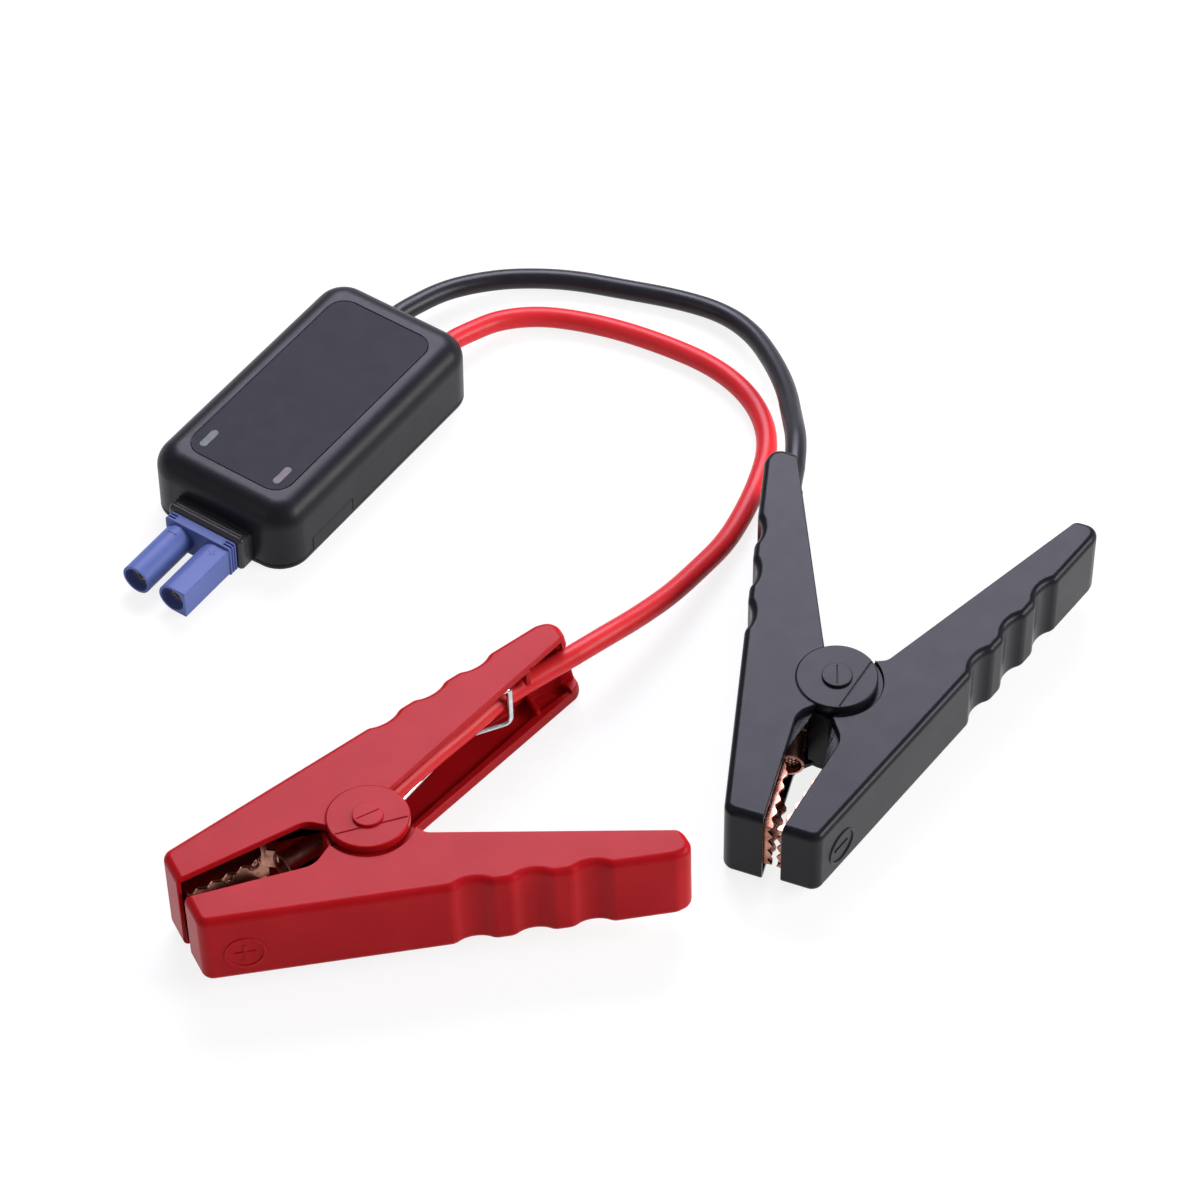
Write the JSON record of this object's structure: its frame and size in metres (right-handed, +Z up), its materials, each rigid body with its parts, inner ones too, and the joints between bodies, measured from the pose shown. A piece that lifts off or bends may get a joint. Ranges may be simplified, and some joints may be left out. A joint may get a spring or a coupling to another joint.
{
  "type": "battery clamp cable",
  "caption": "Protected jump-starter cable: a flat control case with a keyed high-current plug at one end and loose cables to sprung battery clamps at the other.",
  "frame": {"origin": "centre of the control case's underside, on the surface that the part lies on", "axes": "+X along the case from the plug to the cables, +Y to the case's side with the black cable, +Z up, away from the surface"},
  "size_m": [0.3106, 0.2579, 0.0326],
  "materials": {
    "black_plastic": "fine satin",
    "red_plastic": "semi gloss",
    "label": "satin film",
    "plug_blue": "satin",
    "contact_brass": "polished",
    "copper": "plated sheet",
    "steel": "zinc plated",
    "spring_steel": "bright wire",
    "circuit_green": "lacquered",
    "component_black": "moulded",
    "aluminium_can": "drawn",
    "window_green": "clear",
    "window_red": "clear",
    "red_cable": "soft satin",
    "black_cable": "soft satin"
  },
  "bodies": {
    "base": {"upper_shell": "black_plastic", "lower_shell": "black_plastic", "label_panel": "label", "plug_housing": "plug_blue", "plug_contact_positive": "contact_brass", "plug_contact_negative": "contact_brass", "circuit_board": "circuit_green", "power_relay": "component_black", "power_transistors": "component_black", "capacitor": "aluminium_can", "control_chip": "component_black", "led_start": "window_green", "led_error": "window_red", "window_start": "window_green", "window_error": "window_red", "busbar_positive": "copper", "busbar_negative": "copper", "busbar_output": "copper", "cable_terminals": "contact_brass", "cable_clamp": "black_plastic", "case_screws": "steel", "clamp_screws": "steel", "red_cable_in_case": "red_cable", "black_cable_in_case": "black_cable", "red_cable": "red_cable", "black_cable": "black_cable", "red_handle_cable_side": "red_plastic", "red_jaw_cable_side": "copper", "red_jaw_rivets_cable_side": "copper", "red_crimp_barrel": "copper", "red_cable_in_handle": "red_cable", "red_pivot_pin": "red_plastic", "red_spring": "spring_steel", "black_handle_cable_side": "black_plastic", "black_jaw_cable_side": "copper", "black_jaw_rivets_cable_side": "copper", "black_crimp_barrel": "copper", "black_cable_in_handle": "black_cable", "black_pivot_pin": "black_plastic", "black_spring": "spring_steel"},
    "red_lever": {"red_handle_free": "red_plastic", "red_jaw_free": "copper", "red_jaw_rivets_free": "copper"},
    "black_lever": {"black_handle_free": "black_plastic", "black_jaw_free": "copper", "black_jaw_rivets_free": "copper"}
  },
  "joints": [
    {"name": "red_clamp_hinge", "type": "hinge", "parent": "base", "child": "red_lever", "pos_m": [-0.1317, -0.1199, 0.01671], "axis": [0.03, 0.0512, 0.9982], "range_deg": [0, 40], "stiffness_Nm_per_rad": 2, "springref_deg": -34.38, "deforming": ["red_spring"]},
    {"name": "black_clamp_hinge", "type": "hinge", "parent": "base", "child": "black_lever", "pos_m": [-0.0109, -0.1994, 0.0158], "axis": [-0.0238, -0.0055, 0.9997], "range_deg": [0, 40], "stiffness_Nm_per_rad": 2, "springref_deg": -34.38, "deforming": ["black_spring"]}
  ]
}
